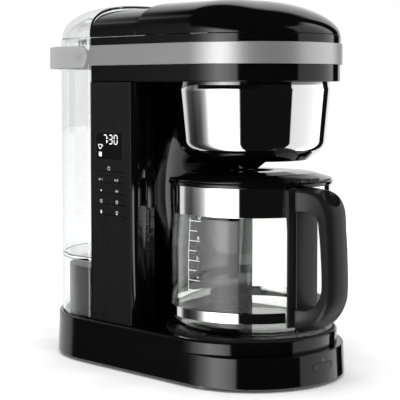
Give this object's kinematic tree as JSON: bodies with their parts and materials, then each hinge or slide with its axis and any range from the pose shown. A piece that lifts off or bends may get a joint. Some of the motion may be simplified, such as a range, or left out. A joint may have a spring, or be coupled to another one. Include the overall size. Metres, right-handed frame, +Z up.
{
  "type": "drip coffee maker",
  "caption": "Drip coffee maker with round head, steel band, mirror basket housing, glass carafe on a warming plate, side control panel and a lift-out clear water tank.",
  "frame": {"origin": "on the table, directly under the brew axis and the middle of the warming plate", "axes": "+Z up, -Y towards the front where the carafe slides out, +X to the right seen from the front"},
  "size_m": [0.185, 0.3846, 0.361],
  "materials": {
    "gloss_black": "gloss",
    "satin_black": "satin",
    "grip_black": "satin",
    "band_steel": "fine brushed satin",
    "mirror_steel": "mirror",
    "carafe_glass": "clear, polished",
    "tank_clear": "clear, polished",
    "bail_grey": "frosted light grey",
    "plate_coating": "non-stick enamel",
    "rubber_black": "matt",
    "hose_silicone": "translucent silicone",
    "cast_aluminium": "as cast",
    "plain_steel": "bright",
    "board_green": "solder mask",
    "display_black": "gloss",
    "inner_plastic": "moulded",
    "valve_white": "moulded",
    "mesh_gold": "woven mesh"
  },
  "bodies": {
    "housing": {"base_housing": "gloss_black", "base_cover": "satin_black", "rubber_feet": "rubber_black", "base_screws": "plain_steel", "warming_plate": "plate_coating", "plate_seal": "rubber_black", "heating_element": "cast_aluminium", "thermostats": "valve_white", "power_board": "board_green", "cord_gland": "satin_black", "tower_housing": "gloss_black", "control_panel": "gloss_black", "display_window": "display_black", "display_module": "inner_plastic", "control_board": "board_green", "inlet_hose": "hose_silicone", "riser_hose": "hose_silicone", "check_valve": "valve_white", "hose_clamps": "plain_steel", "head_housing": "gloss_black", "head_band": "band_steel", "fixed_roof": "gloss_black", "hinge_pin": "plain_steel", "lid_gasket": "rubber_black", "basket_housing": "gloss_black", "bowl_shell": "mirror_steel", "drip_outlet": "gloss_black", "drip_spring": "plain_steel", "brew_basket": "inner_plastic", "mesh_filter": "mesh_gold", "tank_seat": "satin_black", "seat_gasket": "rubber_black"},
    "lid": {"brew_lid": "gloss_black", "shower_head": "inner_plastic"},
    "drip_stop": {"drip_stop": "inner_plastic"},
    "front_button": {"front_button": "gloss_black"},
    "tank": {"tank_shell": "tank_clear", "tank_screen": "inner_plastic", "valve_spring": "plain_steel", "tank_lid_pin": "plain_steel", "bail_pins": "plain_steel"},
    "tank_valve": {"tank_valve": "valve_white"},
    "tank_lid": {"tank_lid": "tank_clear"},
    "bail": {"bail_handle": "bail_grey"},
    "carafe": {"carafe_glass": "carafe_glass", "carafe_band": "mirror_steel", "carafe_base_band": "mirror_steel", "carafe_collar": "gloss_black", "carafe_lid": "gloss_black", "carafe_handle": "grip_black"},
    "key_power": {"key_power": "gloss_black"},
    "key_2_left": {"key_2_left": "gloss_black"},
    "key_2_right": {"key_2_right": "gloss_black"},
    "key_3_left": {"key_3_left": "gloss_black"},
    "key_3_right": {"key_3_right": "gloss_black"},
    "key_4_left": {"key_4_left": "gloss_black"},
    "key_4_right": {"key_4_right": "gloss_black"},
    "key_5_left": {"key_5_left": "gloss_black"},
    "key_5_right": {"key_5_right": "gloss_black"}
  },
  "joints": [
    {"name": "lid_hinge", "type": "hinge", "parent": "housing", "child": "lid", "pos_m": [0, 0.0722, 0.3546], "axis": [-1, 0, 0], "range_deg": [0, 85]},
    {"name": "tank_lift", "type": "slide", "parent": "housing", "child": "tank", "axis": [0, 0, 1], "range_m": [0, 0.3]},
    {"name": "tank_lid_hinge", "type": "hinge", "parent": "tank", "child": "tank_lid", "pos_m": [0, 0.2394, 0.327], "axis": [-1, 0, 0], "range_deg": [0, 85]},
    {"name": "bail_swing", "type": "hinge", "parent": "tank", "child": "bail", "pos_m": [0, 0.151, 0.308], "axis": [1, 0, 0], "range_deg": [0, 90]},
    {"name": "tank_valve_slide", "type": "slide", "parent": "tank", "child": "tank_valve", "axis": [0, 0, 1], "range_m": [0, 0.003], "stiffness_N_per_m": 60, "springref_m": -0.004, "deforming": ["valve_spring"]},
    {"name": "drip_stop_slide", "type": "slide", "parent": "housing", "child": "drip_stop", "axis": [0, 0, 1], "range_m": [0, 0.004], "stiffness_N_per_m": 120, "springref_m": -0.004, "deforming": ["drip_spring"]},
    {"name": "carafe_slide", "type": "slide", "parent": "housing", "child": "carafe", "axis": [0, -1, 0], "range_m": [0, 0.26]},
    {"name": "front_button_press", "type": "slide", "parent": "housing", "child": "front_button", "axis": [0, 1, 0], "range_m": [0, 0.0015], "stiffness_N_per_m": 700, "springref_m": -0.001},
    {"name": "key_power_press", "type": "slide", "parent": "housing", "child": "key_power", "axis": [1, 0, 0], "range_m": [0, 0.0007], "stiffness_N_per_m": 900, "springref_m": -0.0005},
    {"name": "key_2_left_press", "type": "slide", "parent": "housing", "child": "key_2_left", "axis": [1, 0, 0], "range_m": [0, 0.0007], "stiffness_N_per_m": 900, "springref_m": -0.0005},
    {"name": "key_2_right_press", "type": "slide", "parent": "housing", "child": "key_2_right", "axis": [1, 0, 0], "range_m": [0, 0.0007], "stiffness_N_per_m": 900, "springref_m": -0.0005},
    {"name": "key_3_left_press", "type": "slide", "parent": "housing", "child": "key_3_left", "axis": [1, 0, 0], "range_m": [0, 0.0007], "stiffness_N_per_m": 900, "springref_m": -0.0005},
    {"name": "key_3_right_press", "type": "slide", "parent": "housing", "child": "key_3_right", "axis": [1, 0, 0], "range_m": [0, 0.0007], "stiffness_N_per_m": 900, "springref_m": -0.0005},
    {"name": "key_4_left_press", "type": "slide", "parent": "housing", "child": "key_4_left", "axis": [1, 0, 0], "range_m": [0, 0.0007], "stiffness_N_per_m": 900, "springref_m": -0.0005},
    {"name": "key_4_right_press", "type": "slide", "parent": "housing", "child": "key_4_right", "axis": [1, 0, 0], "range_m": [0, 0.0007], "stiffness_N_per_m": 900, "springref_m": -0.0005},
    {"name": "key_5_left_press", "type": "slide", "parent": "housing", "child": "key_5_left", "axis": [1, 0, 0], "range_m": [0, 0.0007], "stiffness_N_per_m": 900, "springref_m": -0.0005},
    {"name": "key_5_right_press", "type": "slide", "parent": "housing", "child": "key_5_right", "axis": [1, 0, 0], "range_m": [0, 0.0007], "stiffness_N_per_m": 900, "springref_m": -0.0005}
  ]
}
